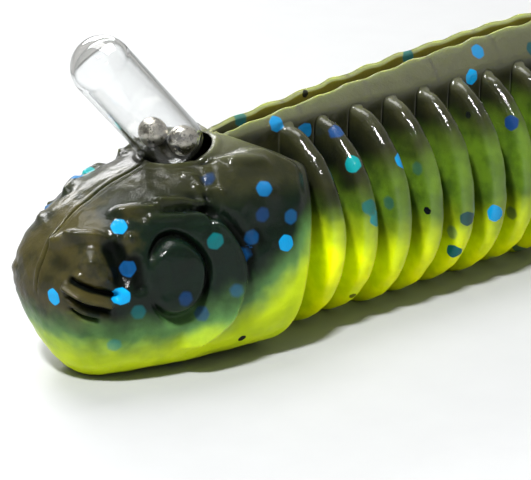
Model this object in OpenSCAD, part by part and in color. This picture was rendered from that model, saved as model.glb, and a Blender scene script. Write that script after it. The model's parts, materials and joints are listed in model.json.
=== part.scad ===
// Soft plastic worm with a glass rattle standing in a socket in its head.
// Lengths are in millimetres. The worm lies on its belly along X with its nose at -X,
// its back is +Z, and the origin is under the middle of its length on the belly plane.

/* [Body] */
// Length from the nose to the tip of the tail
worm_len = 76; // [74:1:90]
// Radius of the ribs
rib_r = 5.25; // [5.1:0.05:5.4]
// Radius of the core between the ribs
core_r = 3.6; // [3.4:0.1:3.8]
// Height of the body's centre line above the belly plane
axis_z = 5; // [4.9:0.05:5.1]
// Height where the dark upper pour meets the bright lower pour
pour_z = 3.6; // [3:0.1:4.4]

/* [Ribs] */
// Distance from the nose to the first rib
first_rib = 15; // [15:0.1:15.4]
// Distance from one rib to the next
rib_pitch = 2.2; // [2.1:0.05:2.3]
// Thickness of a rib at its root
rib_root = 1.3; // [1.1:0.05:1.4]
// Thickness of a rib just under its round rim
rib_rim = 0.9; // [0.7:0.05:1]

/* [Flex joints] */
// Ribs carried by each body segment
ribs_per_segment = 2; // [2]
// Number of body segments between the head and the tail
segments = 10; // [4:1:10]
// Radius of the ball that ends each segment
ball_r = 3; // [2.6:0.1:3.2]
// Clearance between a ball and its socket
ball_gap = 0.2; // [0.1:0.05:0.3]
// Angle that each face leans back from the joint's plane, in degrees
face_lean = 6.6; // [6.2:0.1:7]

/* [Hook slot] */
// Width of the slot along the back
slot_w = 0.9; // [0.6:0.1:1.2]
// Height of the slot's floor above the belly plane
slot_floor = 8.9; // [8.2:0.1:9.4]
// Distance from the nose to the front end of the slot
slot_start = 12.2; // [11.8:0.1:13.6]
// Half width of the raised keel at its foot
keel_foot = 1.9; // [1.5:0.1:2.2]
// Half width of the raised keel at its crest
keel_crest = 1; // [0.8:0.1:1.3]

/* [Rattle] */
// Outer radius of the glass capsule
glass_r = 1.55; // [1.5:0.05:1.6]
// Overall length of the glass capsule
glass_len = 9.5; // [9:0.1:11]
// Thickness of the capsule's wall
glass_wall = 0.22; // [0.2:0.02:0.3]
// Length of the capsule that is seated in the head
seated_len = 1.3; // [1:0.1:2]
// Distance from the nose to the mouth of the socket
mouth_x = 8.65; // [8.4:0.05:9]
// Height of the socket's mouth
mouth_z = 10.3; // [10.1:0.05:10.5]
// Depth of the socket, which stays inside the dark upper pour
socket_len = 8; // [6:0.1:8.2]
// Lean of the capsule towards the nose, in degrees
glass_lean = 42; // [36:1:44]
// Radius of the steel balls
shot_r = 0.75; // [0.6:0.05:0.75]

/* [Hidden] */
$fn = 48;
segment_len = rib_pitch * ribs_per_segment;
head_ribs = 2;
tail_ribs = 2;
first_joint = first_rib + rib_pitch * (head_ribs - 0.5);
last_joint = first_joint + segment_len * segments;
socket_r = glass_r + 0.05;
tail_plain = worm_len - last_joint - rib_pitch * tail_ribs;
tail_r = 4.6;
reach = 9;
overlap = 1;
stations = [for (x = [10:2:worm_len]) x];
keel_start = 10.5;
neck_start = 11;
// Round forms that the skull is drawn over: distance from the nose, half spacing, height, radius.
skull_forms = [
    [2.3, 0.9, 4.8, 2.3], [3.5, 1.9, 6.9, 1.5], [4.6, 1.8, 2.1, 2.2],
    [7.2, 1.6, 6.4, 3.2], [9.6, 1.5, 3.8, 4]
];
// The same for the gill covers, and the knobs of the brow and the shoulder.
gill_forms = [[8.6, 3.2, 5.2, 2.1], [12, 4.2, 6.4, 1.4], [11.8, 3.9, 3.4, 1.4], [10.6, 3, 8.2, 1.6]];
knob_forms = [[2, 2, 7.1, 0.8], [9.6, 3.2, 7.9, 1.9]];
skull_rear = 11.2;
skull_rear_r = 5.3;
eye_place = [4.8, 4.1, 5.6];
eye_r = 2.2;
pupil_r = 0.6;
mouth_place = [1.4, 3.3, 4.2];
mouth_size = [3, 1.4, 0.3];

function two(i) = str(i < 10 ? "0" : "", i);
function joint_at(i) = first_joint + segment_len * (i - 1);
function rib_at(k) = first_rib + rib_pitch * (k - 1);
// Height of the keel's crest at a distance from the nose.
function crest_at(x) = lookup(x, [
    [10, 10.2], [13, 10.7], [15, 10.9], [21, 11.45], [27, 11.85],
    [33, 12.1], [44, 12.1], [56, 11.3], [68, 9.4], [76, 8]
]);

// Carries a shape drawn with X measured from the nose into the part's own frame.
module from_nose() {
    translate([-worm_len / 2, 0, 0]) children();
}

// Turns a shape built around Z so that it lies around the body's centre line.
module around_axis(x = 0) {
    translate([x, 0, axis_z]) rotate([0, 90, 0]) children();
}

// One rib: a fin with a thick root and a round rim.
module rib(x, r) {
    rim = rib_rim / 2;
    around_axis(x) rotate_extrude() polygon([
        [core_r - overlap, -rib_root / 2],
        [core_r + 0.1, -rib_root / 2],
        for (a = [-75:25:75]) [r - rim + rim * cos(a), rim * sin(a)],
        [core_r + 0.1, rib_root / 2],
        [core_r - overlap, rib_root / 2]
    ]);
}

module core(x0, x1, r = core_r) {
    around_axis(x0) cylinder(r = r, h = x1 - x0);
}

// The raised keel that carries the slot, between two distances from the nose.
module keel(x0, x1) {
    foot_z = axis_z + core_r - overlap;
    middle = [for (x = stations) if (x > x0 + 0.1 && x < x1 - 0.1) [x, crest_at(x)]];
    intersection() {
        rotate([90, 0, 0]) linear_extrude(2 * keel_foot + 2, center = true) polygon(concat(
            [[x0, foot_z], [x0, crest_at(x0)]], middle, [[x1, crest_at(x1)], [x1, foot_z]]
        ));
        translate([x0 - 0.5, 0, 0]) rotate([90, 0, 90]) linear_extrude(x1 - x0 + 1) polygon([
            [-keel_foot, 0], [-keel_foot, 9.9], [-keel_crest - 0.2, 11.2], [-keel_crest + 0.2, 13],
            [keel_crest - 0.2, 13], [keel_crest + 0.2, 11.2], [keel_foot, 9.9], [keel_foot, 0]
        ]);
    }
}

// Everything taken out of the back and the belly of the whole worm.
module slot_and_floor() {
    translate([slot_start, -slot_w / 2, slot_floor]) cube([worm_len, slot_w, 10]);
    translate([-5, -10, -10]) cube([worm_len + 10, 20, 10]);
}

// The space of one segment: leaning faces between two joints, with the ball behind.
module envelope(x0, x1, front_lean = true, rear_ball = true) {
    lean = reach * tan(face_lean);
    around_axis() rotate_extrude() polygon([
        [0, x0], [reach, x0 + (front_lean ? lean : 0)],
        [reach, x1 - (rear_ball ? lean : 0)], [0, x1]
    ]);
    if (rear_ball) around_axis(x1) sphere(ball_r);
}

// The dark pour is what lies above the pour line, and the bright pour what lies below it.
module upper_pour() {
    intersection() {
        children();
        translate([-5, -10, pour_z]) cube([worm_len + 10, 20, 20]);
    }
}

module lower_pour() {
    intersection() {
        children();
        translate([-5, -10, pour_z - 20]) cube([worm_len + 10, 20, 20]);
    }
}

module socket() {
    translate([mouth_x, 0, mouth_z]) rotate([0, -glass_lean, 0])
        translate([0, 0, -socket_len]) {
            translate([0, 0, socket_r]) sphere(socket_r);
            translate([0, 0, socket_r]) cylinder(r = socket_r, h = socket_len + 3);
        }
}

// A ball for each form, on the side of the head that side gives as -1 or 1.
module balls(forms, side, fn = 32) {
    for (f = forms) translate([f[0], side * f[1], f[2]]) sphere(f[3], $fn = fn);
}

// The skull from the snout to the gills, without its face.
module skull() {
    hull() {
        for (side = [-1, 1]) balls(skull_forms, side);
        around_axis(skull_rear) cylinder(r = skull_rear_r, h = 0.6, $fn = 32);
    }
}

// The gill cover flares out at the back of the head and ends in a thin edge.
module gill_covers() {
    for (side = [-1, 1]) hull() balls(gill_forms, side);
}

module eye(side) {
    translate([eye_place[0], side * eye_place[1], eye_place[2]])
        rotate([-side * 84, 0, side * 18]) children();
}

module face_features() {
    for (side = [-1, 1]) {
        eye(side) translate([0, 0, -1.5]) cylinder(r = eye_r, h = 2);
        balls(knob_forms, side, $fn);
    }
}

module face_cuts() {
    for (side = [-1, 1]) {
        eye(side) translate([0, 0, 0.2]) cylinder(r1 = pupil_r, r2 = pupil_r + 0.5, h = 1);
        translate([mouth_place[0], side * mouth_place[1], mouth_place[2]]) rotate([0, 18, side * 40])
            cube(mouth_size, center = true);
    }
}

module head() {
    difference() {
        intersection() {
            union() {
                skull();
                gill_covers();
                face_features();
                core(neck_start, first_joint + ball_r + overlap);
                for (k = [1:head_ribs]) rib(rib_at(k), rib_r);
                keel(keel_start, first_joint + overlap);
            }
            envelope(-overlap, first_joint, false, true);
        }
        face_cuts();
        socket();
        slot_and_floor();
    }
}

module segment(i) {
    x0 = joint_at(i);
    x1 = joint_at(i + 1);
    first = head_ribs + ribs_per_segment * (i - 1);
    difference() {
        intersection() {
            union() {
                core(x0 - overlap, x1 + ball_r + overlap);
                for (k = [1:ribs_per_segment]) rib(rib_at(first + k), rib_r);
                keel(x0 - overlap, x1 + overlap);
            }
            envelope(x0, x1);
        }
        around_axis(x0) sphere(ball_r + ball_gap);
        slot_and_floor();
    }
}

// The tail carries the last ribs and ends in a plain rounded bulb.
module tail() {
    x0 = last_joint;
    plain = last_joint + rib_pitch * tail_ribs;
    first = head_ribs + ribs_per_segment * segments;
    difference() {
        union() {
            intersection() {
                union() {
                    core(x0 - overlap, plain + 0.5);
                    for (k = [1:tail_ribs]) rib(rib_at(first + k), rib_r - 0.15 * k);
                    keel(x0 - overlap, plain + 0.5);
                }
                envelope(x0, plain + 3, true, false);
            }
            around_axis(plain) rotate_extrude() polygon([
                [0, -1], [core_r - 0.2, -1], [tail_r - 0.5, -0.2],
                for (a = [0:10:90]) [
                    tail_r * pow(cos(a), 0.6), tail_plain * sin(a)
                ]
            ]);
        }
        around_axis(x0) sphere(ball_r + ball_gap);
        slot_and_floor();
    }
}

// Places a shape drawn along Z, from the seated end of the capsule, in the head.
module in_capsule() {
    translate([mouth_x, 0, mouth_z]) rotate([0, -glass_lean, 0])
        translate([0, 0, -seated_len]) children();
}

// A tube with round ends, closed at both.
module round_tube(r, len) {
    translate([0, 0, r]) sphere(r);
    translate([0, 0, r]) cylinder(r = r, h = len - 2 * r);
    translate([0, 0, len - r]) sphere(r);
}

module rattle_capsule() {
    color([0.9, 0.95, 0.95, 0.35]) from_nose() in_capsule() difference() {
        round_tube(glass_r, glass_len);
        translate([0, 0, glass_wall]) round_tube(glass_r - glass_wall, glass_len - 2 * glass_wall);
    }
}

// The lower ball lies on the round end, and the upper one rests on it and on the wall.
module rattle_ball_lower() {
    color("silver") from_nose() in_capsule() translate([0.36, -0.42, glass_r]) sphere(shot_r);
}

module rattle_ball_upper() {
    color("silver") from_nose() in_capsule() translate([-0.2, 0.5, glass_r + 1.1]) sphere(shot_r);
}

module head_back() {
    color([0.16, 0.17, 0.1]) from_nose() upper_pour() head();
}

module head_belly() {
    color([0.7, 0.85, 0.05]) from_nose() lower_pour() head();
}

module segment_back(i) {
    color([0.16, 0.17, 0.1]) from_nose() upper_pour() segment(i);
}

module segment_belly(i) {
    color([0.7, 0.85, 0.05]) from_nose() lower_pour() segment(i);
}

module tail_back() {
    color([0.16, 0.17, 0.1]) from_nose() upper_pour() tail();
}

module tail_belly() {
    color([0.7, 0.85, 0.05]) from_nose() lower_pour() tail();
}

head_back();
head_belly();
for (i = [1:segments]) {
    segment_back(i);
    segment_belly(i);
}
tail_back();
tail_belly();
rattle_capsule();
rattle_ball_lower();
rattle_ball_upper();
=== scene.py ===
"""A ribbed soft plastic worm with a goby-like head and a glass rattle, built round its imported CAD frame.

Shapes are worked out in millimetres: s is the distance from the nose towards the tail, y is across the
worm and z is the height above the belly plane. They are turned into metres when a mesh is made.
"""
import json
import math

import bpy
import numpy as np
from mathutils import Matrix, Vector, noise


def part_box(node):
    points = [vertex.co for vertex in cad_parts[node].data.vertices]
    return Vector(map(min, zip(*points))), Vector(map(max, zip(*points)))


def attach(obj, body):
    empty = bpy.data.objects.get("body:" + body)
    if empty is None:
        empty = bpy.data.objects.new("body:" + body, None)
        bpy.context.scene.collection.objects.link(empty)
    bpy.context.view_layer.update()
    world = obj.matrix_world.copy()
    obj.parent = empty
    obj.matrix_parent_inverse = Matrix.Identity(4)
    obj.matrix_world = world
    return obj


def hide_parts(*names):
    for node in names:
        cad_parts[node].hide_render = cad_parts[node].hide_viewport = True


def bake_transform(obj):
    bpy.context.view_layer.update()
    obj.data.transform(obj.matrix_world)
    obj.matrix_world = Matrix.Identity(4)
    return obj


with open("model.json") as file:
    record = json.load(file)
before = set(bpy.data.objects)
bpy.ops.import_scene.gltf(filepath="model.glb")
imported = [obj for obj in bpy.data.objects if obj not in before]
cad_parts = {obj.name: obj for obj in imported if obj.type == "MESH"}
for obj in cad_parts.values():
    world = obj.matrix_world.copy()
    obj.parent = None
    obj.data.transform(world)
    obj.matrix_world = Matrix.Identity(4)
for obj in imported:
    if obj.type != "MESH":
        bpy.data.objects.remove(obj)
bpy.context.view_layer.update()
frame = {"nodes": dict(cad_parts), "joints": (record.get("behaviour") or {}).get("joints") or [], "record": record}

MM = 0.001
RNG = np.random.default_rng(11)

# ---------------------------------------------------------------- places from the frame
NOSE_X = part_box("head_back")[0].x / MM
TAIL_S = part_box("tail_back")[1].x / MM - NOSE_X
FLEX = [j for j in frame["joints"] if j["name"].startswith("flex_")]
FLEX_S = [j["pos_m"][0] / MM - NOSE_X for j in FLEX]
AXIS_Z = FLEX[0]["pos_m"][2] / MM
SEGMENT = FLEX_S[1] - FLEX_S[0]
PITCH = SEGMENT / 2
FIRST_RIB = FLEX_S[0] - 1.5 * PITCH
RIBS = 2 * len(FLEX) + 2
LAST_RIB = FIRST_RIB + PITCH * (RIBS - 1)

# ---------------------------------------------------------------- sizes in millimetres
RIB_R = 5.25
CORE_R = 3.62
RIM_R = 0.5
ROOT_FILLET = 0.22
ROOT_HALF = 0.6
SLOT_HALF = 0.45
SCALLOP = 0.05
CREST_ROUND = 0.14
COMB_FLARE = 0.12
TAIL_R = 4.6
NECK_R = 3.9
GILL_LIP = 0.22
NECK_GAP = 0.45
HEAD_LEN = 12.5

GLASS_WALL = 0.23
GLASS_TIP = 0.5
GLASS_FOOT = 0.3
CAVITY_DOME = 0.75
BORE_GAP = 0.04
BORE_FOOT = 0.15
BORE_ABOVE = 8.0
BORE_SHADE_Z = 9.2

# ---------------------------------------------------------------- the rattle's place
capsule = frame["nodes"]["rattle_capsule"]
slide = next(j for j in frame["joints"] if j["name"] == "rattle_slide")
RATTLE_AXIS = np.array(slide["axis"], float)
capsule_points = np.array([v.co for v in capsule.data.vertices]) / MM - (NOSE_X, 0, 0)
capsule_reach = capsule_points @ RATTLE_AXIS
capsule_middle = (capsule_points.min(0) + capsule_points.max(0)) / 2
capsule_off = capsule_points - capsule_middle
capsule_off -= (capsule_off @ RATTLE_AXIS)[:, None] * RATTLE_AXIS
GLASS_R = np.linalg.norm(capsule_off, axis=1).max()
CAVITY_R = GLASS_R - GLASS_WALL
GLASS_LEN = np.ptp(capsule_reach)
RATTLE_FOOT = capsule_middle + (capsule_reach.min() - capsule_middle @ RATTLE_AXIS) * RATTLE_AXIS

# ---------------------------------------------------------------- small maths


def smooth(low, high, x):
    """0 below low, 1 above high, and an even S between them."""
    t = np.clip((np.asarray(x, float) - low) / (high - low), 0, 1)
    return t * t * (3 - 2 * t)


def hump(x, centre, width):
    """A bell of height 1 round centre."""
    return np.exp(-(((np.asarray(x, float) - centre) / width) ** 2))


def through(*points):
    """A smooth function through (x, value) points that never overshoots them."""
    x, v = np.array(points, float).T
    d = np.diff(v) / np.diff(x)
    m = np.concatenate([[d[0]], (d[1:] + d[:-1]) / 2, [d[-1]]])
    m[1:-1][d[1:] * d[:-1] <= 0] = 0
    m = np.sign(m) * np.minimum(
        np.abs(m), 3 * np.minimum(np.abs(np.append(d[0], d)), np.abs(np.append(d, d[-1])))
    )

    def value(q):
        q = np.clip(np.asarray(q, float), x[0], x[-1])
        i = np.clip(np.searchsorted(x, q, side="right") - 1, 0, len(d) - 1)
        w = x[i + 1] - x[i]
        t = (q - x[i]) / w
        a = (1 + 2 * t) * (1 - t) ** 2 * v[i] + t * (1 - t) ** 2 * w * m[i]
        return a + t * t * (3 - 2 * t) * v[i + 1] + t * t * (t - 1) * w * m[i + 1]

    return value


def cap(s, length, power):
    """How far a rounded nose has opened at s: 0 at the tip and 1 after length."""
    t = np.clip(1 - np.asarray(s, float) / length, 0, 1)
    return np.maximum(1 - t**power, 0) ** (1 / power)


def wobble(points, size, amount, seed=0.0):
    """A smooth uneven field at the points, from -amount to amount, with bumps of about size."""
    shape = points.shape[:-1]
    flat = points.reshape(-1, 3) / size + seed
    out = np.array([noise.noise(Vector(p)) for p in flat])
    return amount * out.reshape(shape)


# ---------------------------------------------------------------- the body's outline
crest = through((10, 10.4), (13.5, 10.8), (14.5, 10.9), (20.5, 11.45), (26.5, 11.9), (32.5, 12.1),
                (44, 12.1), (56, 11.3), (64, 10.3), (69, 9.72), (76, 9.66))
keel_half = through((10, 0.95), (15, 1.05), (21, 1.35), (27, 1.6), (44, 1.65), (60, 1.3), (70, 1.0))
comb_z = through((10, 10.2), (15, 10.45), (21, 10.55), (27, 10.65), (44, 10.65), (60, 10.2),
                 (68, 9.66), (76, 9.62))
egg = through((10, 0.25), (15, 0.3), (27, 0.65), (44, 0.65), (60, 0.3), (70, 0))
slot_depth = through((11.3, 0), (12.2, 1.1), (20, 1.9), (30, 2.4), (60, 2.0), (66, 1.2), (68.5, 0))

SLOT_COLS, WALL_COLS, CREST_COLS, SIDE_COLS, ROUND_COLS = 3, 7, 10, 8, 92
ROUND_SHARE = np.linspace(0, 1, ROUND_COLS)
HEAD_SHARE = np.linspace(0, 1, 140)


def body_half(s, r, rim=None, share=ROUND_SHARE):
    """One side of the body's section at each s, from the slot's floor round to the belly: y and z.
    r is the radius of the core or rib there, and rim says from 0 to 1 how near it is to a rib's rim."""
    s, r = np.asarray(s, float)[:, None], np.asarray(r, float)[:, None]
    rim = np.clip((r - CORE_R) / (RIB_R - CORE_R), 0, 1) if rim is None else np.asarray(rim, float)[:, None]
    depth = slot_depth(s)
    scallop = np.cos(2 * math.pi * (s - FIRST_RIB) / PITCH) * smooth(0, 1, depth)
    top, half, comb = crest(s) + SCALLOP * scallop, keel_half(s), comb_z(s)
    open_slot = smooth(0, 0.6, depth)
    slot_half = SLOT_HALF * (0.25 + 0.75 * open_slot)
    floor = top - depth
    parts = []
    t = np.linspace(0, 1, SLOT_COLS)[None, :]
    parts.append((slot_half * t * 0.9, floor + 0.06 * t**2))
    t = np.linspace(0.1, 0.93, WALL_COLS)[None, :]
    parts.append((slot_half * (0.93 + 0.07 * t), floor + (depth - CREST_ROUND) * t))
    t = np.linspace(0, 1, CREST_COLS)[None, :]
    run = half - slot_half - CREST_ROUND
    turn = np.minimum(t / 0.3, 1)
    slope = np.clip((t - 0.3) / 0.7, 0, 1)
    y = slot_half + CREST_ROUND * np.sin(turn * math.pi / 2) + run * slope
    z = top - CREST_ROUND + CREST_ROUND * np.sin(turn * math.pi / 2) - (top - comb) * slope**1.35
    parts.append((y, z))
    rho_foot = r + egg(s) * rim
    foot_z = AXIS_Z + np.sqrt(np.maximum(rho_foot**2 - half**2, 0.5))
    foot_z = np.minimum(foot_z, comb - 0.04)
    t = np.linspace(0, 1, SIDE_COLS + 1)[None, 1:]
    parts.append((half + COMB_FLARE * t**2 * (1 - rim), comb + (foot_z - comb) * t))
    foot_half = half + COMB_FLARE * (1 - rim)
    start = np.arctan2(foot_half, foot_z - AXIS_Z)
    a = start + (math.pi - start) * share[None, :]
    finger = 0.22 * rim * np.exp(-(((a - start) / 0.09) ** 2))
    rho = r + egg(s) * rim * np.clip(np.cos(a), 0, 1) ** 2 - finger
    meet = np.exp(-(((a - start) / 0.05) ** 2))
    rho = rho * (1 - meet) + np.hypot(foot_half, foot_z - AXIS_Z) * meet
    parts.append((rho * np.sin(a), AXIS_Z + rho * np.cos(a)))
    y = np.concatenate([np.broadcast_to(p[0], (len(s), p[0].shape[1])) for p in parts], 1)
    z = np.concatenate([np.broadcast_to(p[1], (len(s), p[1].shape[1])) for p in parts], 1)
    return y, np.maximum(z, 0)


def rib_profile(radius, core=CORE_R):
    """Half-pitch to half-pitch across one rib: places along the worm from its centre, and radii."""
    side = []
    for t in np.linspace(0, 1, 4):
        side.append((-PITCH / 2 + t * (PITCH / 2 - ROOT_HALF - ROOT_FILLET), core))
    for a in np.radians([22, 45, 68, 90]):
        side.append((-ROOT_HALF - ROOT_FILLET * (1 - math.sin(a)), core + ROOT_FILLET * (1 - math.cos(a))))
    top = radius - RIM_R
    for t in np.linspace(0, 1, 8)[1:]:
        foot = core + ROOT_FILLET
        side.append((-ROOT_HALF + (ROOT_HALF - RIM_R) * t, foot + (top - foot) * t))
    for a in np.radians(np.linspace(0, 90, 8)[1:]):
        side.append((-RIM_R * math.cos(a), top + RIM_R * math.sin(a)))
    side = np.array(side)
    back = side[-2::-1] * [-1, 1]
    return np.concatenate([side, back])


def rib_rows(first, last):
    """Rows of (s, radius) over the ribs from number first to number last."""
    rows = []
    for k in range(first, last + 1):
        centre = FIRST_RIB + PITCH * (k - 1)
        size = RIB_R * (1 + 0.008 * math.sin(2.4 * k) + 0.006 * math.sin(5.1 * k))
        size -= 0.12 * max(0, k - RIBS + 2)
        part = rib_profile(size) + [centre, 0]
        rows.append(part if not rows else part[1:])
    return np.concatenate(rows)


def tail_rows():
    """Rows of (s, radius, share of full size) over the rounded tail, from the last groove to the tip."""
    s0 = LAST_RIB + PITCH / 2
    rows = [(s0, CORE_R, 1), (s0 + 0.15, CORE_R + 0.03, 1)]
    shoulder = CORE_R + 0.1
    for a in np.radians([20, 40, 60, 75]):
        rows.append((s0 + 0.35 + 0.4 * (1 - math.cos(a)), shoulder + (TAIL_R - shoulder) * math.sin(a), 1))
    start = rows[-1][0] + 0.1
    for a in np.radians(np.linspace(0, 89.5, 70)):
        rows.append((start + (TAIL_S - start) * math.sin(a) ** 1.15, TAIL_R, math.cos(a) ** 0.62))
    return np.array(rows)


# ---------------------------------------------------------------- meshes
def loop_points(s, y, z):
    """Both sides of a half section, joined into one loop: an array of rows of points."""
    s = np.broadcast_to(s, y.shape)
    near = np.stack([s, -y, z], -1)
    far = np.stack([s, y, z], -1)[:, -2:0:-1]
    return np.concatenate([near, far], 1)


def grid_mesh(name, rows, painted_light_marks, nose_point=None, tail_point=None):
    """A closed mesh over rows of points, with its ends drawn to a point or closed by one flat face.
    Its marks say how deep in a groove or recess each point lies, where the plastic is painted darker as shade, and
    where rims and crest edges get a painted glow or highlight."""
    n_rows, n = rows.shape[:2]
    points = rows.reshape(-1, 3)
    depth = painted_light_marks.ravel()
    idx = np.arange(n_rows * n).reshape(n_rows, n)
    nxt = np.roll(idx, -1, 1)
    quads = np.stack([idx[:-1], idx[1:], nxt[1:], nxt[:-1]], -1).reshape(-1, 4).tolist()
    caps = []
    if nose_point is not None:
        points = np.vstack([points, nose_point])
        depth = np.append(depth, 0)
        tip = len(points) - 1
        quads += [[tip, a, b] for a, b in zip(idx[0], nxt[0])]
    else:
        caps.append(idx[0].tolist())
    if tail_point is not None:
        points = np.vstack([points, tail_point])
        depth = np.append(depth, 0)
        tip = len(points) - 1
        quads += [[tip, b, a] for a, b in zip(idx[-1], nxt[-1])]
    else:
        caps.append(idx[-1][::-1].tolist())
    mesh = bpy.data.meshes.new(name)
    world = (points + [NOSE_X, 0, 0]) * MM
    mesh.from_pydata(world.tolist(), [], quads + caps)
    mesh.polygons.foreach_set("use_smooth", [True] * len(quads) + [False] * len(caps))
    rest = mesh.attributes.new("rest", "FLOAT_VECTOR", "POINT")
    rest.data.foreach_set("vector", points.astype(np.float32).ravel())
    mesh.attributes.new("painted_light_marks", "FLOAT", "POINT").data.foreach_set("value", depth.astype(np.float32))
    mesh.update()
    sharp = mesh.attributes.get("sharp_edge") or mesh.attributes.new("sharp_edge", "BOOLEAN", "EDGE")
    rim = {tuple(sorted((a, b))) for c in caps for a, b in zip(c, c[1:] + c[:1])}
    keys = [tuple(sorted(e.vertices)) in rim for e in mesh.edges]
    sharp.data.foreach_set("value", keys)
    obj = bpy.data.objects.new(name, mesh)
    bpy.context.scene.collection.objects.link(obj)
    return obj


def groove_painted_light_marks(radii, columns):
    """How deep in the grooves between ribs each point of a loop lies: from 0 on the rims and the keel
    to 1 at the core. This sets painted shade down in the grooves and a painted glow on the rims. The thin edges of
    the crests beside the slot are marked with -1 for a painted pale highlight."""
    plain = SLOT_COLS + WALL_COLS + CREST_COLS + SIDE_COLS
    half = np.zeros((len(radii), columns))
    half[:, plain:] = np.clip((RIB_R - radii) / (RIB_R - CORE_R), 0, 1)[:, None]
    crest_edge = SLOT_COLS + WALL_COLS
    half[:, crest_edge : crest_edge + 2] = -1
    return np.concatenate([half, half[:, -2:0:-1]], 1)


def uneven(rows, amount=0.035):
    """Moulded soft plastic is never quite even: rows of points pushed out and in a little."""
    centre = np.array([0, 0, AXIS_Z])
    out = rows - centre
    out[..., 0] = 0
    length = np.linalg.norm(out, axis=-1, keepdims=True)
    push = wobble(rows, 2.3, amount, 5.0) + wobble(rows, 0.75, amount * 1.5, 9.0)
    keep = smooth(0.05, 0.6, rows[..., 2])
    moved = rows + out / np.maximum(length, 0.1) * (push * keep)[..., None]
    moved[..., 2] = np.maximum(moved[..., 2], 0)
    return moved


# ---------------------------------------------------------------- the head
width = through((0, 2.6), (1.5, 3.15), (3.5, 3.95), (4.6, 4.3), (8.5, 5.15), (12, 5.6), (14, 5.7))
height_up = through((0, 2.6), (2.1, 3.35), (3.3, 3.8), (4.5, 4.3), (6, 4.7), (11, 5.6), (14, 5.7))
power_up = through((0, 2.2), (1.5, 2.4), (3.5, 2.45), (6, 2.3), (11, 2.15), (14, 2.05))
power_down = through((0, 1.75), (1.5, 1.85), (3, 2.25), (8, 2.9), (14, 2.9))
gill_edge = through((0, 11.0), (20.7, 11.8), (35, 13.0), (43.5, 13.7), (51, 13.5), (80, 12.7), (96, 12.5),
                    (117, 12.2), (137, 11.9), (180, 11.7))


def head_radius(s, a):
    """The plain head's radius from the body's axis at s, at an angle a from straight up."""
    w = width(s) * cap(s, 1.3, 3)
    up = height_up(s) * cap(s, 2.7, 2)
    down = 5.05 * cap(s, 2.9, 1.8)
    h = np.where(np.cos(a) >= 0, up, down)
    n = np.where(np.cos(a) >= 0, power_up(s), power_down(s))
    x = np.abs(np.sin(a)) / np.maximum(w, 1e-6)
    y = np.abs(np.cos(a)) / np.maximum(h, 1e-6)
    return (x**n + y**n) ** (-1 / n)


def column_angles():
    """The angle from straight up at which each of the section's columns crosses the head."""
    y, z = body_half([15.0], [RIB_R], share=HEAD_SHARE)
    a = np.arctan2(y[0], z[0] - AXIS_Z)
    plain = SLOT_COLS + WALL_COLS
    a[:plain] = np.radians(np.linspace(0, 3.6, plain))
    rest = SLOT_COLS + WALL_COLS + CREST_COLS + SIDE_COLS
    a[plain:rest] = np.radians(np.linspace(4.4, math.degrees(a[rest]) - 0.6, rest - plain))
    return a


def head_stations(count):
    """Places along the head, as shares of its length, evenly spaced over its surface."""
    s = np.concatenate([[0], np.geomspace(1e-4, HEAD_LEN, 4000)])
    across = (width(s) * cap(s, 1.3, 3) + height_up(s) * cap(s, 2.7, 2)) / 2
    run = np.concatenate([[0], np.cumsum(np.hypot(np.diff(s), np.diff(across)))])
    return np.interp(np.linspace(0, run[-1], count + 1)[1:], run, s) / HEAD_LEN


def distance_over(p, a, b):
    """Distance from each point p to the line from a to b, measured along the head's skin there."""
    a, b = np.array(a, float), np.array(b, float)
    n = (a + b) / 2
    n = n - (max(n[0], SNOUT_CENTRE), 0, AXIS_Z)
    flat = np.eye(3) - np.outer(n, n) / (n @ n)
    off, line = (p - a) @ flat, (b - a) @ flat
    t = np.clip((off @ line) / max(line @ line, 1e-9), 0, 1)
    return np.linalg.norm(off - t[..., None] * line, axis=-1)


FAR_SNOUT, FAR_RELIEF = 0.1, 0.8
SNOUT_CENTRE = 4.0
EYE_S, EYE_Z, EYE_SQUEEZE, EYE_R = 5.15, 5.5, 0.74, 2.1


def ridge(p, start, end, high, wide):
    """A raised line (or, with a negative height, a groove) between two points, with rounded ends."""
    return high * hump(distance_over(p, start, end), 0, wide)


def bead(p, at, high, wide):
    """A small round bump (or dimple) at a point."""
    return high * hump(distance_over(p, at, at), 0, wide)


def eye_relief(s, z):
    """A soft dish in a rim, inside a groove that is deep above, behind and below and fades in front."""
    r = np.hypot((s - EYE_S) / EYE_SQUEEZE, z - EYE_Z)
    turn = np.arctan2(z - EYE_Z, s - EYE_S)
    front = smooth(1.9, 2.7, np.abs(turn)) * smooth(0.5, 1.5, r)
    under = smooth(-2.2, -1.5, turn) * (1 - smooth(-0.5, 0.6, turn))
    d = 0.32 * (1 - 0.75 * front) * (1 - smooth(1.5, 1.95, r)) - 0.2 * hump(r, 0, 1.1)
    return d - (0.04 + 0.34 * (1 - front)) * hump(r, EYE_R + 0.06 * under, 0.15 + 0.12 * under)


def cover_relief(s, y, z):
    """The plate behind the eye with its crescent step, the hollow behind it and the shoulder lobe."""
    step = np.hypot((s - 4.6) / 4.08, (z - 5.2) / 3.8)
    low = 1 - smooth(7.6, 8.4, z)
    d = 0.38 * smooth(0.6, 0.97, step) * (1 - smooth(0.98, 1.03, step)) * smooth(5.4, 6.6, s) * low
    d += 0.1 * hump(step, 0.965, 0.022) * smooth(5.4, 6.6, s) * low
    d -= 0.42 * hump(step, 1.11, 0.09) * smooth(6.2, 7.5, s) * smooth(4.4, 6.4, z)
    front = s - 7.9 - 0.45 * (z - 8.5)
    high = smooth(6.8, 8.7, z) * (1 - smooth(10.0, 10.6, z)) * smooth(2.0, 3.0, y)
    return d + high * (0.42 * smooth(-0.15, 0.35, front) - 0.22 * hump(front, -0.28, 0.16))


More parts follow.
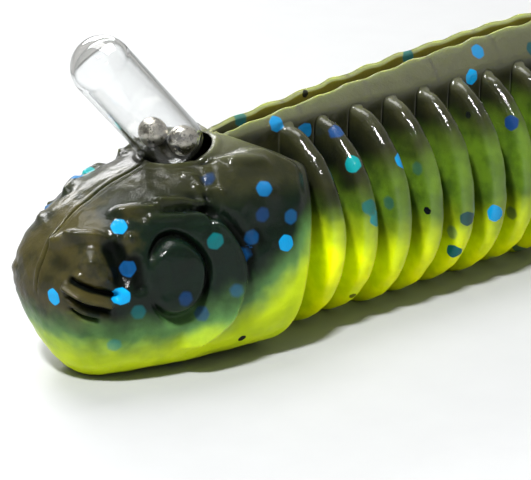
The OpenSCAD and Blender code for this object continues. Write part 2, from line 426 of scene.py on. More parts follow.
def socket_relief(p):
    """A low lip round the mouth of the rattle's socket."""
    off = p - capsule_middle
    r = np.linalg.norm(off - (off @ RATTLE_AXIS)[..., None] * RATTLE_AXIS, axis=-1)
    return 0.14 * hump(r, GLASS_R + 0.22, 0.14)


def face(p):
    """How far the face's features stand out of the plain head at each point p of one side."""
    s, y, z = p[..., 0], p[..., 1], p[..., 2]
    side = smooth(1.2, 2.6, y)
    d = (eye_relief(s, z) + cover_relief(s, y, z)) * side
    # the leaf-shaped ridge above and behind the eye, and the fold under it
    d += ridge(p, (5.4, 2.75, 8.9), (7.6, 3.75, 8.7), 0.4, 0.24)
    d += ridge(p, (5.4, 3.2, 8.62), (7.3, 3.9, 8.45), -0.2, 0.16)
    d += ridge(p, (4.6, 3.15, 8.3), (7.2, 4.05, 8.2), 0.2, 0.24)
    d += ridge(p, (7.3, 2.2, 9.7), (8.1, 2.8, 9.6), 0.2, 0.26)
    # the temple's folds, and the knob where the lobe meets the gill cover's top corner
    d += ridge(p, (7.6, 2.9, 9.3), (8.3, 3.5, 8.7), 0.22, 0.2)
    d += ridge(p, (9.2, 2.5, 9.9), (11.2, 3.4, 9.6), 0.24, 0.3)
    d += ridge(p, (8.6, 1.9, 10.1), (9.4, 2.7, 9.7), -0.2, 0.24)
    d += bead(p, (10.6, 4.5, 8.6), 0.22, 0.5)
    d += ridge(p, (9.3, 4.6, 7.9), (9.8, 4.9, 6.4), -0.16, 0.4)
    # the brow, and the shelf across the snout with the panel under it
    d += ridge(p, (3.5, 2.0, 8.6), (4.8, 2.8, 8.6), 0.34, 0.28)
    d += ridge(p, (0.85, 0.3, 7.3), (1.3, 1.1, 7.65), 0.24, 0.3)
    d += ridge(p, (1.3, 1.1, 7.65), (1.9, 2.1, 7.75), 0.42, 0.26)
    d += bead(p, (0.35, 1.1, 6.4), -0.14, 0.75)
    # the nostril knobs
    d += bead(p, (1.3, 2.65, 6.7), 0.44, 0.46)
    d += bead(p, (0.6, 2.45, 6.1), 0.16, 0.22)
    d += bead(p, (1.65, 3.05, 6.05), 0.28, 0.3)
    # the pit in front of the eye, with a row of beads over it
    d += ridge(p, (2.4, 3.0, 7.2), (2.6, 3.3, 5.9), -0.62, 0.5)
    d += ridge(p, (3.2, 3.6, 6.6), (3.3, 3.8, 5.4), -0.3, 0.32)
    for at in ((2.2, 2.4, 7.75), (2.8, 2.75, 7.7), (3.3, 3.0, 7.6)):
        d += bead(p, at, 0.26, 0.2)
    # the mouth: a raised lip between grooves, and a short groove under it
    d += ridge(p, (0.4, 2.2, 5.85), (2.1, 3.4, 5.05), -0.4, 0.17)
    d += ridge(p, (0.25, 2.0, 5.5), (1.9, 3.3, 4.65), 0.42, 0.17)
    d += ridge(p, (0.3, 2.1, 5.1), (1.9, 3.2, 4.25), -0.3, 0.15)
    d += ridge(p, (0.4, 2.2, 4.4), (1.3, 2.95, 3.8), -0.34, 0.13)
    return d


def seam(p):
    """The crease down the middle of the head and over the snout, where the mould's halves met."""
    top = smooth(4.6, 5.4, p[..., 2])
    return (0.05 * hump(p[..., 1], 0.16, 0.1) - 0.11 * hump(p[..., 1], 0, 0.05)) * top


def outward(rows):
    """Unit normals of a grid of points, pointing away from the axis."""
    along = np.gradient(rows, axis=0)
    across = (np.roll(rows, -1, 1) - np.roll(rows, 1, 1)) / 2
    n = np.cross(along, across)
    n /= np.maximum(np.linalg.norm(n, axis=-1, keepdims=True), 1e-9)
    away = rows - [6.5, 0, AXIS_Z]
    return n * np.sign((n * away).sum(-1).mean())


def head_rows():
    """Rows of points over the head, its gill edge, the neck and the first rib."""
    a = column_angles()
    edge = gill_edge(np.degrees(a))
    share = head_stations(210)
    s = share[:, None] * (edge - GILL_LIP)[None, :]
    rho = head_radius(s, a[None, :])
    y, z = rho * np.sin(a), AXIS_Z + rho * np.cos(a)
    skin = loop_points(s, y, np.maximum(z, 0))
    n = outward(skin)
    mirrored = np.abs(skin)
    warp = np.stack([wobble(skin, 1.7, 0.16, seed) for seed in (21.0, 34.0, 55.0)], -1)
    far = FAR_SNOUT + (FAR_RELIEF - FAR_SNOUT) * smooth(1.0, 3.5, skin[..., 0])
    relief = face(mirrored + warp) * np.where(skin[..., 1] > 0, far, 1)
    relief = relief + socket_relief(skin) + seam(mirrored)
    relief = relief + wobble(skin, 1.6, 0.08) + wobble(skin, 0.6, 0.03, 3.0)
    push = relief * (1 - smooth(0.93, 1.0, share))[:, None] * smooth(0.02, 0.5, skin[..., 2])
    skin = skin + n * push[..., None]
    skin[..., 2] = np.maximum(skin[..., 2], 0)
    # the gill cover's rounded lip and the wall behind it, down to the neck
    rho_lip = head_radius(edge - GILL_LIP, a)
    wall = []
    neck_s = edge + NECK_GAP
    neck_y, neck_z = body_half(neck_s, np.full(len(a), NECK_R), np.zeros(len(a)), HEAD_SHARE)
    pick = np.arange(len(a))
    neck_y, neck_z = neck_y[pick, pick], neck_z[pick, pick]
    for t in np.radians([25, 50, 75, 95]):
        r = rho_lip - GILL_LIP * (1 - np.cos(t))
        lip_s = edge - GILL_LIP * (1 - np.sin(t))
        wall.append((lip_s, r * np.sin(a), AXIS_Z + r * np.cos(a)))
    s1, y1, z1 = wall[-1]
    for t in np.linspace(0, 1, 11)[1:]:
        w = smooth(0, 1, t)
        wall.append((s1 + (neck_s - s1) * t**2, y1 + (neck_y - y1) * w, z1 + (neck_z - z1) * w))
    wall = np.array(wall)
    behind = loop_points(wall[:, 0], wall[:, 1], np.maximum(wall[:, 2], 0))
    # the neck, whose columns start at the gill edge and end together at the first rib
    first = rib_rows(1, 1)
    first_s = first[4, 0]
    neck = []
    for t in np.linspace(0, 1, 9)[1:]:
        at = neck_s + (first_s - neck_s) * t
        radius = NECK_R + (first[4, 1] - NECK_R) * np.full(len(a), t)
        ny, nz = body_half(at, radius, np.zeros(len(a)), HEAD_SHARE)
        neck.append((at, ny[pick, pick], nz[pick, pick]))
    neck = np.array(neck)
    neck = loop_points(neck[:, 0], neck[:, 1], neck[:, 2])
    y, z = body_half(first[5:, 0], first[5:, 1], share=HEAD_SHARE)
    ribbed = uneven(loop_points(first[5:, :1], y, z))
    # painted shade: the face is marked darker where its relief is pushed in, and the gill wall, neck and rib by
    # how deep in a groove they lie
    painted_light_marks = [smooth(0.0, 0.3, -push)]
    painted_light_marks += [groove_painted_light_marks(np.full(len(part), CORE_R), len(a)) for part in (behind, neck)]
    painted_light_marks.append(groove_painted_light_marks(first[5:, 1], len(a)))
    return np.concatenate([skin, behind, neck, ribbed]), np.concatenate(painted_light_marks)


def body_rows(first, last):
    """Rows of points over the body from one rib to another, and how deep in a groove each lies, for the painted
    shade and glow.
    """
    rows = rib_rows(first, last)
    y, z = body_half(rows[:, 0], rows[:, 1])
    return uneven(loop_points(rows[:, :1], y, z)), groove_painted_light_marks(rows[:, 1], y.shape[1])


def build_skins():
    """The worm's skin: the head, one piece over each flex joint, and the tail."""
    made = {}
    rows, painted_light_marks = head_rows()
    tip = [rows[0, :, 0].mean() - 0.002, 0, AXIS_Z]
    made["head_skin"] = grid_mesh("head_skin", rows, painted_light_marks, nose_point=tip)
    for k in range(1, len(FLEX) + 1):
        name = f"rib_skin_{k:02d}"
        made[name] = grid_mesh(name, *body_rows(2 * k, 2 * k + 1))
    last, painted_light_marks = body_rows(RIBS, RIBS)
    rows = tail_rows()
    y, z = body_half(rows[:, 0], rows[:, 1], np.clip(rows[:, 1] / TAIL_R, 0, 1))
    size = rows[:, 2:]
    y, z = y * size, AXIS_Z + (z - AXIS_Z) * size
    tail = uneven(loop_points(rows[:, :1], y, z))
    painted_light_marks = np.concatenate([painted_light_marks, np.zeros(tail[1:].shape[:2])])
    rows = np.concatenate([last, tail[1:]])
    made["tail_skin"] = grid_mesh("tail_skin", rows, painted_light_marks, tail_point=[TAIL_S, 0, AXIS_Z])
    return made


# ---------------------------------------------------------------- glitter
BLUE, TEAL, BLACK = 0.0, 0.5, 1.0
FLAKE_R, SPECK_R = 0.4, 0.2
REACH = 1.6
NOWHERE = 9.0

# flakes on the worm's near side: their place, colour, how bright a glint is painted on each and how deep they lie
PLACED_FLAKES = (
    (3.0, -2.6, 8.2, BLUE, 0.9, 0.1), (0.1, -1.2, 4.9, BLUE, 1.0, 0.0), (2.3, -3.5, 5.0, BLUE, 1.0, 0.0),
    (11.1, -5.4, 6.2, BLUE, 0.9, 0.0), (2.8, -3.4, 6.2, BLUE, 0.3, 0.1),
    (3.2, -3.8, 4.1, TEAL, 0.5, 0.5), (5.3, -4.8, 4.5, BLUE, 0.2, 0.6), (7.2, -4.7, 7.0, TEAL, 0.5, 0.2),
    (10.4, -4.6, 8.9, BLUE, 0.5, 0.2), (11.6, -5.2, 7.3, BLUE, 0.4, 0.4), (9.3, -5.0, 6.8, BLUE, 0.3, 0.4),
    (10.0, -5.0, 7.8, BLUE, 0.2, 0.5), (9.0, -5.1, 6.0, BLUE, 0.3, 0.6), (6.4, -4.7, 3.5, BLUE, 0.2, 0.5),
    (8.0, -5.3, 4.5, BLUE, 0.4, 0.8), (8.0, -3.1, 9.7, BLUE, 0.2, 0.8), (2.3, -3.0, 2.4, TEAL, 0.7, 0.6),
    (9.1, -4.4, 1.4, BLACK, 0.0, 0.0), (13.2, 0.4, 10.5, TEAL, 0.4, 0.3), (14.3, -1.0, 10.4, BLUE, 0.7, 0.1),
    (16.1, -1.1, 9.8, BLUE, 0.6, 0.1), (16.9, -3.8, 8.5, TEAL, 0.8, 0.1), (17.1, -2.4, 9.9, BLUE, 0.2, 0.3),
    (17.1, -5.0, 6.5, TEAL, 0.4, 0.3), (17.4, -5.1, 5.8, TEAL, 0.7, 0.1), (18.9, -4.4, 6.2, TEAL, 0.3, 0.6),
    (19.7, -4.3, 8.2, BLUE, 0.8, 0.0), (21.2, -4.8, 5.4, BLACK, 0.0, 0.0), (27.1, -1.7, 10.3, BLUE, 1.0, 0.0),
    (27.8, -3.9, 8.3, BLUE, 0.1, 0.1), (25.5, -3.0, 9.0, BLACK, 0.2, 0.3), (23.6, -5.1, 4.4, TEAL, 0.1, 0.1),
    (25.7, -5.0, 4.2, BLUE, 0.9, 0.0), (23.3, -4.3, 3.5, TEAL, 0.4, 0.6), (23.4, -4.4, 2.5, TEAL, 0.6, 0.0),
    (27.7, -4.2, 3.5, TEAL, 0.1, 0.5), (17.1, -3.8, 1.4, BLACK, 0.0, 0.2), (17.5, 0.5, 11.0, BLACK, 0.0, 0.1),
    (24.5, 0.5, 11.4, TEAL, 0.4, 0.2), (28.0, -1.1, 11.5, BLUE, 0.7, 0.2), (21.0, -4.0, 7.4, TEAL, 0.3, 0.7),
)
SCATTERED = 430


def skin_places(pieces):
    """Every skin point's place and outward normal, in millimetres."""
    places, normals = [], []
    for piece in pieces:
        count = len(piece.data.vertices)
        for key, out in (("rest", places), ("normal", normals)):
            flat = np.empty(count * 3, np.float32)
            if key == "rest":
                piece.data.attributes["rest"].data.foreach_get("vector", flat)
            else:
                piece.data.vertices.foreach_get("normal", flat)
            out.append(flat.reshape(-1, 3))
    return np.concatenate(places), np.concatenate(normals)


def scattered_flakes():
    """Seeded flakes all over the worm, apart from its near side in front, where they are placed."""
    flakes = []
    while len(flakes) < SCATTERED:
        s, a, r = RNG.uniform(0.5, TAIL_S - 0.3), RNG.uniform(-math.pi, math.pi), RNG.uniform(3.4, 6.5)
        colour = RNG.choice([BLUE, BLUE, TEAL, BLACK])
        # each flake gets a random brightness for its painted glint, and a depth
        light, depth = RNG.uniform(0, 1), RNG.uniform(0, 0.8) ** 1.3
        y, z = r * math.sin(a), AXIS_Z + r * math.cos(a)
        alone = all(math.dist((s, y, z), f[:3]) > 3 * FLAKE_R for f in [*PLACED_FLAKES, *flakes[-60:]])
        shown = s < 30 and (y < 0.3 or (s < 12 and y < 3.2 and z > 5)) and z > -0.3
        if alone and not shown:
            flakes.append((s, y, z, colour, light, depth))
    return flakes


def settle_flakes(pieces):
    """Moves each flake to the nearest point of the skin and turns it to lie nearly along it."""
    places, normals = skin_places(pieces)
    settled = []
    for s, y, z, colour, light, depth in [*PLACED_FLAKES, *scattered_flakes()]:
        here = np.abs(places[:, 0] - s) < REACH
        nearest = np.argmin(np.linalg.norm(places[here] - (s, y, z), axis=1))
        n = normals[here][nearest] + RNG.normal(0, 0.18, 3)
        n /= np.linalg.norm(n)
        turn = RNG.uniform(0, math.pi)
        u = np.cross(n, (math.cos(turn), math.sin(turn), 0.3))
        u /= np.linalg.norm(u)
        radius = SPECK_R if colour == BLACK else FLAKE_R
        settled.append((places[here][nearest], u, np.cross(n, u), n, radius, (colour, light, depth)))
    return settled


def give_flakes(piece, flakes):
    """Stores at each point where it lies on its nearest flake, in flake radii, and that flake's look."""
    count = len(piece.data.vertices)
    p = np.empty(count * 3, np.float32)
    piece.data.attributes["rest"].data.foreach_get("vector", p)
    p = p.reshape(-1, 3)
    place = np.tile(np.float32([0, 0, NOWHERE]), (count, 1))
    look = np.zeros((count, 3), np.float32)
    for centre, u, v, n, radius, paint in flakes:
        near = np.flatnonzero(np.abs(p[:, 0] - centre[0]) < REACH)
        off = p[near] - centre
        at_u, at_v, away = off @ u / radius, off @ v / radius, np.abs(off @ n)
        gap = np.hypot(at_u, at_v) + 4 * np.maximum(away - 0.3, 0) / radius
        closer = gap < place[near, 2]
        place[near[closer]] = np.stack([at_u, at_v, gap], 1)[closer]
        look[near[closer]] = paint
    for name, values in (("flake_place", place), ("flake_look", look)):
        attribute = piece.data.attributes.new(name, "FLOAT_VECTOR", "POINT")
        attribute.data.foreach_set("vector", values.ravel())


# ---------------------------------------------------------------- the rattle's glass
def round_ended(radius, low, high, dome=1.0, steps=16):
    """The half outline, as (distance along, radius), of a tube with domed ends from low to high."""
    turn = np.radians(np.linspace(0, 90, steps))
    foot = [(low + radius * (1 - math.cos(a)), radius * math.sin(a)) for a in turn]
    tip = [(high - dome * radius * (1 - math.sin(a)), radius * math.cos(a)) for a in turn]
    return foot + tip


def turned_shell(name, outlines, around=72):
    """A body of revolution about the rattle's axis; each outline is a closed skin of its own."""
    across = np.array([0.0, 1.0, 0.0])
    up = np.cross(RATTLE_AXIS, across)
    verts, faces = [], []
    for outline, inside in outlines:
        base = len(verts)
        rings = outline[1:-1]
        for along, r in rings:
            for a in np.linspace(0, 2 * math.pi, around, endpoint=False):
                out = math.cos(a) * across + math.sin(a) * up
                verts.append(RATTLE_FOOT + along * RATTLE_AXIS + r * out)
        poles = (len(verts), len(verts) + 1)
        verts += [RATTLE_FOOT + outline[0][0] * RATTLE_AXIS, RATTLE_FOOT + outline[-1][0] * RATTLE_AXIS]
        made = []
        for i in range(around):
            j = (i + 1) % around
            for k in range(len(rings) - 1):
                low, high = base + k * around, base + (k + 1) * around
                made.append((low + i, low + j, high + j, high + i))
            made.append((poles[0], base + j, base + i))
            last = base + (len(rings) - 1) * around
            made.append((poles[1], last + i, last + j))
        faces += [f[::-1] for f in made] if inside else made
    mesh = bpy.data.meshes.new(name)
    mesh.from_pydata([((v + (NOSE_X, 0, 0)) * MM).tolist() for v in verts], [], faces)
    mesh.polygons.foreach_set("use_smooth", [True] * len(faces))
    obj = bpy.data.objects.new(name, mesh)
    bpy.context.scene.collection.objects.link(obj)
    return obj


def cut_socket(skin):
    """Sinks the blind bore that the rattle slides in into the head, down to its deepest place."""
    foot = slide["range_m"][0] / MM - BORE_FOOT
    bore_r = GLASS_R + BORE_GAP
    cutter = turned_shell("socket_bore", [(round_ended(bore_r, foot, BORE_ABOVE), False)], around=96)
    cut = skin.modifiers.new("socket", "BOOLEAN")
    cut.operation, cut.solver, cut.object = "DIFFERENCE", "EXACT", cutter
    bpy.context.view_layer.update()
    whole = skin.evaluated_get(bpy.context.evaluated_depsgraph_get())
    mesh = bpy.data.meshes.new_from_object(whole)
    skin.modifiers.clear()
    skin.data = mesh
    mesh.set_sharp_from_angle(angle=math.radians(70))
    bpy.data.objects.remove(cutter)
    # the bore's wall lies in the dark pour, and is marked to be painted near black as shade
    rest = np.array([v.co for v in mesh.vertices]) / MM - (NOSE_X, 0, 0)
    off = rest - RATTLE_FOOT
    along = off @ RATTLE_AXIS
    away = np.linalg.norm(off - along[:, None] * RATTLE_AXIS, axis=1)
    wall = (away < bore_r + 0.005) & (along > foot - 0.01)
    rest[wall, 2] = BORE_SHADE_Z
    mesh.attributes["rest"].data.foreach_set("vector", rest.astype(np.float32).ravel())
    painted_light_marks = np.empty(len(rest), np.float32)
    mesh.attributes["painted_light_marks"].data.foreach_get("value", painted_light_marks)
    painted_light_marks[wall] = 1
    mesh.attributes["painted_light_marks"].data.foreach_set("value", painted_light_marks)


# ---------------------------------------------------------------- materials
class Nodes:
    """Short ways to make and join shader nodes."""

    def __init__(self, name):
        self.material = bpy.data.materials.new(name)
        self.material.use_nodes = True
        self.tree = self.material.node_tree
        self.tree.nodes.clear()
        self.out = self.tree.nodes.new("ShaderNodeOutputMaterial")
        self.shader = self.add("ShaderNodeBsdfPrincipled")
        self.link(self.shader.outputs[0], self.out.inputs["Surface"])

    def add(self, kind, **settings):
        node = self.tree.nodes.new(kind)
        for key, value in settings.items():
            setattr(node, key, value)
        return node

    def link(self, source, target):
        self.tree.links.new(source, target)

    def put(self, target, value):
        """Joins value to the socket if it is one, and otherwise sets it."""
        if isinstance(value, bpy.types.NodeSocket):
            self.link(value, target)
        else:
            target.default_value = value

    def sum(self, operation, *values):
        node = self.add("ShaderNodeMath", operation=operation)
        for socket, value in zip(node.inputs, values):
            self.put(socket, value)
        return node.outputs[0]

    def mix(self, factor, a, b):
        node = self.add("ShaderNodeMix", data_type="RGBA")
        self.put(node.inputs["Factor"], factor)
        self.put(node.inputs[6], a)
        self.put(node.inputs[7], b)
        return node.outputs[2]

    def between(self, value, low, high, start=0.0, end=1.0):
        node = self.add("ShaderNodeMapRange", interpolation_type="SMOOTHSTEP")
        for socket, v in zip(node.inputs, (value, low, high, start, end)):
            self.put(socket, v)
        return node.outputs[0]

    def noise(self, where, scale, detail=2.0, roughness=0.5):
        node = self.add("ShaderNodeTexNoise")
        self.put(node.inputs["Vector"], where)
        node.inputs["Scale"].default_value = scale
        node.inputs["Detail"].default_value = detail
        node.inputs["Roughness"].default_value = roughness
        return node.outputs["Fac"]

    def bump(self, height, strength, distance):
        node = self.add("ShaderNodeBump")
        node.inputs["Strength"].default_value = strength
        node.inputs["Distance"].default_value = distance
        self.link(height, node.inputs["Height"])
        return node.outputs[0]

    def set(self, **values):
        for name, value in values.items():
            self.put(self.shader.inputs[name.replace("_", " ")], value)


def add_flakes(m, colour, sheer):
    """Lays the glitter into a plastic of the given colour and translucency, each flake painted from dark to bright
    as a glint; returns both with it in.
    """
    place = m.add("ShaderNodeSeparateXYZ")
    m.link(m.add("ShaderNodeAttribute", attribute_name="flake_place").outputs["Vector"], place.inputs[0])
    look = m.add("ShaderNodeSeparateXYZ")
    m.link(m.add("ShaderNodeAttribute", attribute_name="flake_look").outputs["Vector"], look.inputs[0])
    u, v, gap = place.outputs
    kind, light, depth = look.outputs
    edge = m.sum("ABSOLUTE", u)
    for lean in (0.866, -0.866):
        across = m.sum("MULTIPLY_ADD", v, lean, m.sum("MULTIPLY", u, 0.5))
        edge = m.sum("MAXIMUM", edge, m.sum("ABSOLUTE", across))
    edge = m.sum("MULTIPLY_ADD", gap, 0.5, m.sum("MULTIPLY", edge, 0.5))
    soft = m.sum("MULTIPLY_ADD", depth, 0.5, 0.14)
    inside = m.between(edge, m.sum("SUBTRACT", 1.05, soft), 1.06, 1.0, 0.0)
    inside = m.sum("MULTIPLY", inside, m.sum("LESS_THAN", gap, 1.2))
    inside = m.sum("MULTIPLY", inside, m.sum("MULTIPLY_ADD", depth, -0.75, 1.0))
    # painted glint: each flake's colour runs from dark to bright by how much it is meant to catch the light
    painted_glint = m.sum("POWER", light, 1.6)
    blue = m.mix(painted_glint, (0.004, 0.02, 0.1, 1), (0.003, 0.25, 0.52, 1))
    teal = m.mix(painted_glint, (0.001, 0.03, 0.04, 1), (0.003, 0.26, 0.27, 1))
    paint = m.mix(m.between(kind, 0.1, 0.4), blue, teal)
    paint = m.mix(m.between(kind, 0.6, 0.9), paint, (0.003, 0.004, 0.006, 1))
    return m.mix(inside, colour, paint), m.sum("MULTIPLY", sheer, m.sum("SUBTRACT", 1.0, inside))


CHART_LEN, CHART_HIGH = 80.0, 12.0


def soft_plastic():
    """Two pours of translucent vinyl with glitter in them: smoke green over chartreuse, with painted shade in the
    grooves and recesses, and painted glow and highlights on the thin keel, crest edges and rib rims.
    """
    m = Nodes("laminate_plastic")
    rest = m.add("ShaderNodeAttribute", attribute_name="rest").outputs["Vector"]
    part = m.add("ShaderNodeSeparateXYZ")
    m.link(rest, part.inputs[0])
    s, y, z = part.outputs

    def height_along(*marks):
        """A height that changes along the worm, through (s, height) marks."""
        line = m.add("ShaderNodeFloatCurve")
        curve = line.mapping.curves[0]
        while len(curve.points) < len(marks):
            curve.points.new(0.5, 0.5)
        for point, (at, high) in zip(curve.points, marks):
            point.location = (at / CHART_LEN, high / CHART_HIGH)
            point.handle_type = "AUTO"
        line.mapping.update()
        m.link(m.sum("DIVIDE", s, CHART_LEN), line.inputs["Value"])
        return m.sum("MULTIPLY", line.outputs[0], CHART_HIGH)

    # the bright pour's top, and the dark pour's foot: they meet on the head and part along the ribs
    bright_top = height_along((0, 2.3), (3, 1.9), (7, 2.2), (9.5, 3.1), (11.6, 4.5), (12.7, 5.6), (15, 5.2),
                              (17.2, 4.4), (19.4, 3.9), (22, 3.6), (76, 3.4))
    dark_foot = height_along((0, 3.3), (3, 3.2), (7, 3.6), (9.5, 4.4), (11.6, 5.7), (12.7, 6.8), (15, 6.8),
                             (17.2, 7.2), (19.4, 7.7), (22, 8.1), (76, 8.3))
    blur = m.sum("MULTIPLY", m.sum("SUBTRACT", m.noise(rest, 0.6), 0.5), 1.6)
    high = m.sum("ADD", z, blur)
    ribbed = m.between(s, 12.0, 14.0)
    above = m.sum("SUBTRACT", high, bright_top)
    olive = m.between(above, m.between(ribbed, 0.0, 1.0, -0.8, -1.9), m.between(ribbed, 0.0, 1.0, 0.9, 1.8))
    dark = m.between(m.sum("SUBTRACT", high, dark_foot), -1.2, 1.2)
    patches = m.between(m.noise(rest, 0.9, 3.0), 0.35, 0.7)
    # the dark pour is brown on the snout, half brown over the head's top and on the ribs, and a deep
    # green on the cheeks
    patchy_s = m.sum("MULTIPLY_ADD", patches, 2.0, s)
    brown = m.between(m.sum("MULTIPLY_ADD", z, -0.45, patchy_s), 1.6, -1.4)
    brown = m.sum("MAXIMUM", brown, m.between(z, 7.9, 9.6, 0.0, 0.5))
    brown = m.sum("MAXIMUM", brown, m.between(s, 12.0, 14.0, 0.0, 0.45))
    smoke = m.mix(brown, (0.003, 0.009, 0.005, 1), (0.036, 0.031, 0.01, 1))
    dark_colour = m.mix(m.sum("MULTIPLY", patches, 0.5), smoke, (0.004, 0.006, 0.004, 1))
    # the thin keel beside the slot lets more light through, painted in as a lighter colour, and its edges are
    # palest with a painted highlight
    crest_sheer_and_glow = m.between(z, 9.9, 10.8)
    in_slot = m.sum("MULTIPLY", m.between(m.sum("ABSOLUTE", y), 0.6, 0.45), ribbed)
    crest_glow_colour = m.mix(in_slot, (0.07, 0.073, 0.042, 1), (0.1, 0.085, 0.014, 1))
    dark_colour = m.mix(crest_sheer_and_glow, dark_colour, crest_glow_colour)
    painted_light_marks = m.add("ShaderNodeAttribute", attribute_name="painted_light_marks").outputs["Fac"]
    dark_colour = m.mix(m.between(painted_light_marks, -0.3, -1.0), dark_colour, (0.15, 0.155, 0.09, 1))
    # painted shade: deep in the grooves, the face's recesses and the rattle's bore the dark pour is painted near
    # black
    shade = m.sum("MULTIPLY", m.between(painted_light_marks, 0.0, 0.9), dark)
    dark_colour = m.mix(shade, dark_colour, (0.002, 0.003, 0.002, 1))
    milky = m.mix(patches, (0.11, 0.25, 0.07, 1), (0.07, 0.17, 0.045, 1))
    rib_olive_and_rim_glow = m.mix(patches, (0.075, 0.14, 0.008, 1), (0.035, 0.075, 0.006, 1))
    # painted glow: the rib rims in the olive zone are painted a lighter green, as if lit through
    rib_olive_and_rim_glow = m.mix(m.between(painted_light_marks, 0.4, 0.0, 0.0, 0.5), rib_olive_and_rim_glow, (0.11, 0.17, 0.03, 1))
    olive_colour = m.mix(ribbed, milky, rib_olive_and_rim_glow)
    bright_colour = m.mix(ribbed, (0.55, 0.7, 0.01, 1), (0.82, 0.95, 0.0, 1))
    bright_colour = m.mix(m.sum("MULTIPLY", patches, 0.35), bright_colour, (0.3, 0.45, 0.0, 1))
    colour = m.mix(dark, m.mix(olive, bright_colour, olive_colour), dark_colour)
    sheer = m.sum("MAXIMUM", m.between(dark, 0.0, 1.0, 0.8, 0.3), m.sum("MULTIPLY", crest_sheer_and_glow, 0.8))
    colour, sheer = add_flakes(m, colour, sheer)
    m.set(Base_Color=colour, Subsurface_Weight=sheer)
    m.set(Roughness=0.4, IOR=1.45, Subsurface_Radius=(1.3, 1.5, 0.4), Subsurface_Scale=MM)
    m.shader.inputs["Specular IOR Level"].default_value = 0.02
    # the head is satin and the ribs are glossier
    grain = m.noise(rest, 1.4, 3.0)
    # the painted shade also cuts the coat back in the grooves and recesses, so they reflect less
    coat = m.sum("MULTIPLY", m.between(olive, 0.0, 1.0, 0.5, 1.0), m.sum("MULTIPLY_ADD", shade, -0.75, 1.0))
    coat = m.sum("MULTIPLY", coat, m.between(ribbed, 0.0, 1.0, 0.5, 1.0))
    m.set(Coat_Weight=coat, Coat_IOR=1.4)
    satin = m.between(grain, 0.3, 0.7, 0.07, 0.22)
    m.set(Coat_Roughness=m.sum("MULTIPLY", m.between(ribbed, 0.0, 1.0, 1.0, 0.4), satin))
    fine = m.sum("MULTIPLY_ADD", m.noise(rest, 9.0, 3.0, 0.6), 0.35, m.noise(rest, 2.6, 4.0, 0.55))
    normal = m.bump(fine, 0.4, 0.08 * MM)
    m.set(Normal=normal, Coat_Normal=normal)
    return m.material


def clear_glass():
    """Clear glass whose colour gathers where it is seen edge on."""
    m = Nodes("clear_glass")
    where = m.add("ShaderNodeTexCoord").outputs["Object"]
    edge = m.add("ShaderNodeLayerWeight")
    edge.inputs["Blend"].default_value = 0.5
    thick = m.between(edge.outputs["Facing"], 0.45, 0.92)
    m.set(Base_Color=m.mix(thick, (0.97, 0.98, 0.98, 1), (0.12, 0.15, 0.14, 1)))
    m.set(Roughness=m.between(m.noise(where, 900.0), 0.4, 0.8, 0.0, 0.04), IOR=1.5, Transmission_Weight=1.0)
    m.set(Normal=m.bump(m.noise(where, 500.0, 2.0), 0.08, 0.05 * MM))
    return m.material


def ball_steel():
    """Worn steel of uneven brightness."""
    m = Nodes("ball_steel")
    where = m.add("ShaderNodeTexCoord").outputs["Object"]
    grain = m.noise(where, 2600.0, 4.0, 0.6)
    colour = m.mix(m.between(grain, 0.35, 0.7), (0.3, 0.28, 0.24, 1), (0.72, 0.68, 0.6, 1))
    m.set(Base_Color=colour, Metallic=1.0, Roughness=m.between(grain, 0.3, 0.7, 0.18, 0.42))
    m.set(Normal=m.bump(grain, 0.5, 0.03 * MM))
    return m.material


def floor_white():
    """Matt paper, mid grey so that the studio's light brings it just to white."""
    m = Nodes("floor_white")
    where = m.add("ShaderNodeTexCoord").outputs["Object"]
    mottle = m.noise(where, 400.0, 3.0)
    m.set(Base_Color=m.mix(mottle, (0.31, 0.315, 0.32, 1), (0.33, 0.335, 0.34, 1)), Roughness=0.6)
    return m.material


# ---------------------------------------------------------------- camera, floor and light
def aim(obj, at, looking_at):
    """Puts obj at a place and points its -Z at another."""
    obj.location = Vector(at)
    obj.rotation_euler = (Vector(looking_at) - Vector(at)).to_track_quat("-Z", "Y").to_euler()


def make_camera():
    data = bpy.data.cameras.new("camera")
    data.sensor_width = 36
    data.lens = 266.3
    data.clip_start, data.clip_end = 0.005, 10
    camera = bpy.data.objects.new("camera", data)
    bpy.context.scene.collection.objects.link(camera)
    aim(camera, Vector((-144.78, -140.36, 71.93)) * MM, Vector((-21.97, 1.78, 3.15)) * MM)
    bpy.context.scene.camera = camera


def make_floor(material):
    """A flat floor, far wider than the view."""
    mesh = bpy.data.meshes.new("floor")
    half = 2.0
    corners = [(-half, -half, 0), (half, -half, 0), (half, half, 0), (-half, half, 0)]
    mesh.from_pydata(corners, [], [(0, 1, 2, 3)])
    floor = bpy.data.objects.new("floor", mesh)
    bpy.context.scene.collection.objects.link(floor)
    mesh.materials.append(material)


def make_light(name, at, towards, size, watts):
    """A rectangular lamp, with its places and size in millimetres."""
    data = bpy.data.lights.new(name, "AREA")
    data.shape = "RECTANGLE"
    data.size, data.size_y = size[0] * MM, size[1] * MM
    data.energy = watts
    light = bpy.data.objects.new(name, data)
    bpy.context.scene.collection.objects.link(light)
    aim(light, Vector(at) * MM, Vector(towards) * MM)


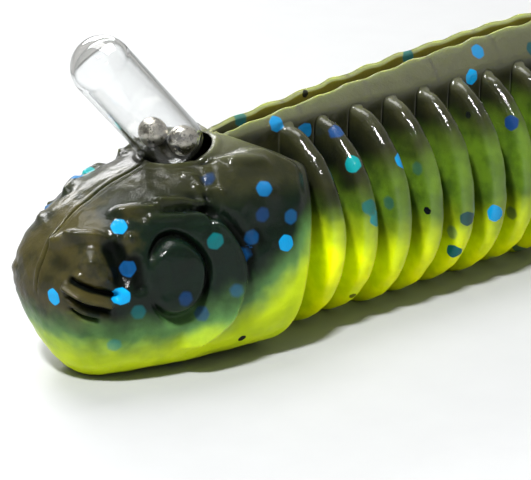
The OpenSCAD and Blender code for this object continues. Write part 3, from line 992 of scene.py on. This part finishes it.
def make_world():
    """A bright sky overhead and behind the worm, and a dimmer room on the camera's side."""
    world = bpy.data.worlds.new("studio")
    world.use_nodes = True
    tree = world.node_tree
    back = tree.nodes["Background"]
    where = tree.nodes.new("ShaderNodeTexCoord")
    towards = tree.nodes.new("ShaderNodeVectorMath")
    towards.operation = "DOT_PRODUCT"
    towards.inputs[1].default_value = Vector((0.55, 0.6, 0.6)).normalized()
    tree.links.new(where.outputs["Generated"], towards.inputs[0])
    fall = tree.nodes.new("ShaderNodeMapRange")
    fall.interpolation_type = "SMOOTHSTEP"
    for socket, value in zip(fall.inputs, (0, -0.2, 1.0, 0.26, 0.62)):
        socket.default_value = value
    tree.links.new(towards.outputs["Value"], fall.inputs[0])
    tree.links.new(fall.outputs[0], back.inputs["Strength"])
    back.inputs["Color"].default_value = (1.0, 0.985, 0.95, 1)
    bpy.context.scene.world = world


bpy.context.scene.view_settings.view_transform = "Standard"
make_camera()
make_floor(floor_white())
make_world()
make_light("softbox_front", (-165, -70, 230), (-25, 0, 6), (30, 22), 1.6)
make_light("softbox_over", (-20, 80, 250), (-20, 0, 5), (140, 140), 0.55)
make_light("softbox_rim", (50, 200, 110), (-25, 0, 8), (110, 50), 0.3)

# ---------------------------------------------------------------- the worm
plastic = soft_plastic()
skins = build_skins()
cut_socket(skins["head_skin"])
flakes = settle_flakes(skins.values())
for name, piece in skins.items():
    give_flakes(piece, flakes)
    piece.data.materials.append(plastic)
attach(skins["head_skin"], "head")
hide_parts("head_back", "head_belly")
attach(skins["tail_skin"], "tail")
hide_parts("tail_back", "tail_belly")
for k, joint in enumerate(FLEX, 1):
    piece = skins[f"rib_skin_{k:02d}"]
    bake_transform(piece)
    if joint["child"] != "tail":
        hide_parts(*frame["record"]["behaviour"]["bodies"][joint["child"]])

# ---------------------------------------------------------------- the rattle
glass = clear_glass()
steel = ball_steel()
tube = turned_shell("glass_tube", [
    (round_ended(GLASS_R, 0, GLASS_LEN), False),
    (round_ended(CAVITY_R, GLASS_FOOT, GLASS_LEN - GLASS_TIP, CAVITY_DOME), True),
])
tube.data.materials.append(glass)
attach(tube, "capsule")
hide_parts("rattle_capsule")
for node in ("rattle_ball_lower", "rattle_ball_upper"):
    mesh = frame["nodes"][node].data
    mesh.materials.clear()
    mesh.materials.append(steel)
    mesh.polygons.foreach_set("use_smooth", [True] * len(mesh.polygons))
